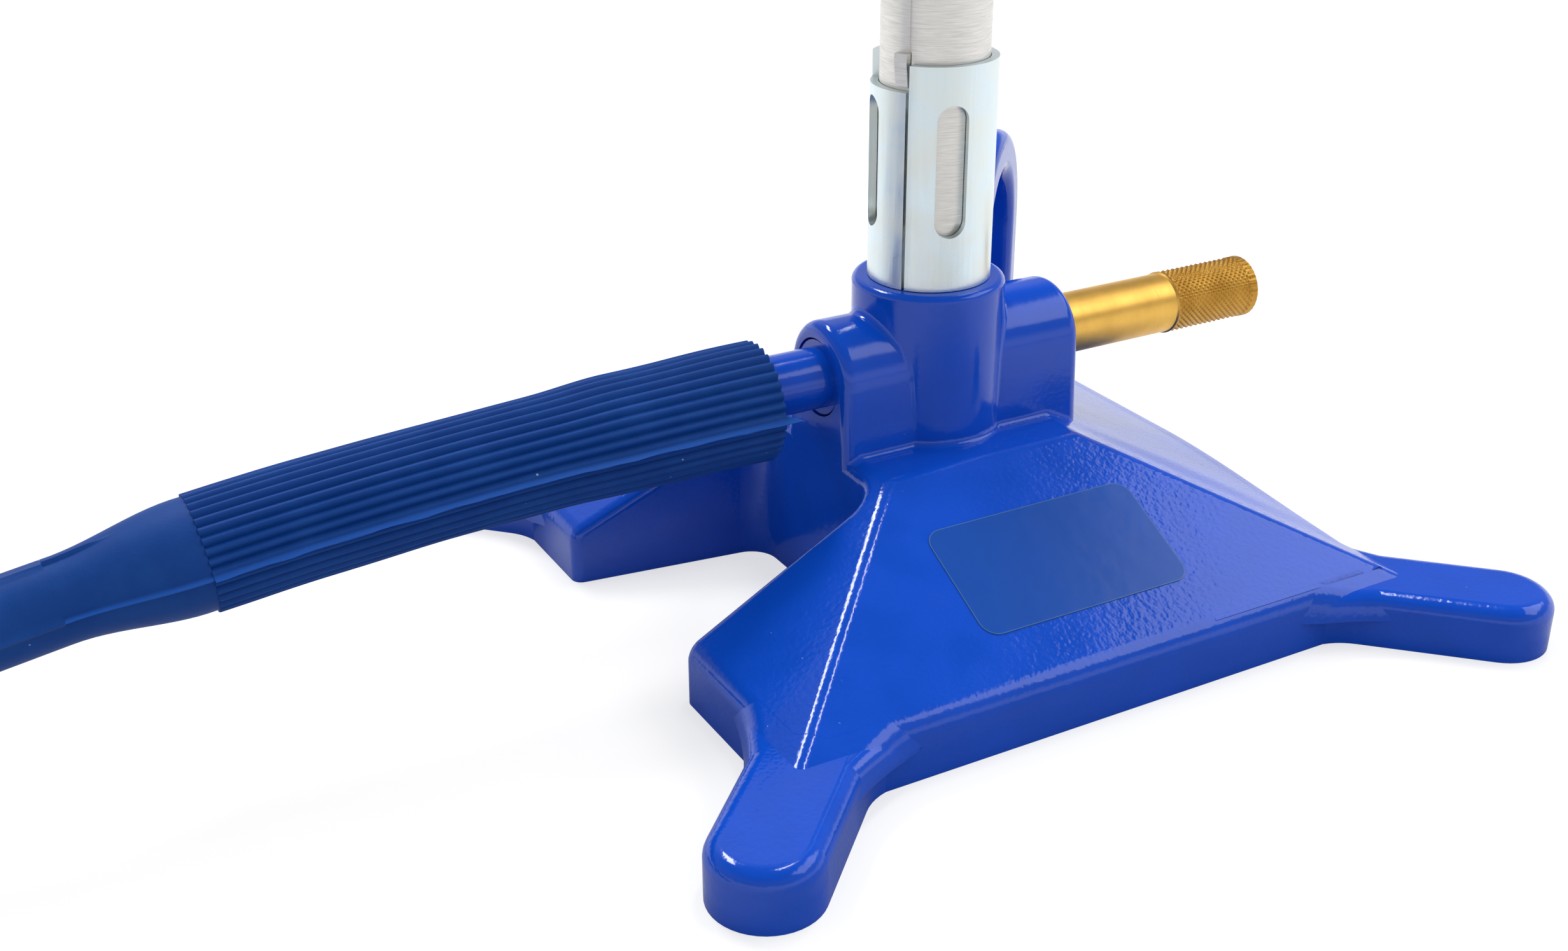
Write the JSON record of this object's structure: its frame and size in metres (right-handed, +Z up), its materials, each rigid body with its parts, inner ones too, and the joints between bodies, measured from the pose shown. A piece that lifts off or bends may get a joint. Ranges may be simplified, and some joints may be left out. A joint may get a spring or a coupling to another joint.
{
  "type": "laboratory gas burner",
  "caption": "Laboratory gas burner: cast base with four spread feet and a finger loop, upright tube, turning air sleeve, knurled needle valve and a rubber hose with ribbed cuffs.",
  "frame": {"origin": "on the table, under the axis of the burner tube", "axes": "+Z up along the burner tube, +X along the gas axis towards the valve knob, +Y towards the back, where the finger loop is"},
  "size_m": [0.4294, 0.1411, 0.155],
  "materials": {
    "enamel": "gloss blue enamel over a casting",
    "tube_steel": "brushed",
    "zinc_plate": "bright zinc plating",
    "brass": "satin turned",
    "hose_rubber": "matte moulded",
    "seal_rubber": "matte",
    "fibre": "pressed fibre",
    "pin_steel": "ground"
  },
  "bodies": {
    "base": {"base_casting": "enamel", "inlet_nozzle": "enamel", "valve_seat": "brass", "valve_retaining_pin": "pin_steel", "jet_washer": "fibre", "gas_jet": "brass", "burner_tube": "tube_steel", "hose_cuff_near": "hose_rubber", "hose_tube": "hose_rubber", "hose_coil": "hose_rubber", "hose_tail": "hose_rubber", "hose_cuff_far": "hose_rubber"},
    "sleeve": {"air_sleeve": "zinc_plate"},
    "valve_seal": {"valve_o_ring": "seal_rubber"},
    "valve": {"valve_spindle": "brass"}
  },
  "joints": [
    {"name": "air_sleeve_turn", "type": "hinge", "parent": "base", "child": "sleeve", "pos_m": [0, 0, 0.058], "axis": [0, 0, 1], "range_deg": [0, 60]},
    {"name": "valve_travel", "type": "slide", "parent": "base", "child": "valve_seal", "axis": [1, 0, 0], "range_m": [0, 0.0024]},
    {"name": "valve_turn", "type": "hinge", "parent": "valve_seal", "child": "valve", "pos_m": [0.03, 0, 0.0321], "axis": [1, 0, 0], "range_deg": [0, 1080]}
  ],
  "couplings": [
    {"joint": "valve_travel", "follows": "valve_turn", "m_per_rad": 0.000127}
  ]
}
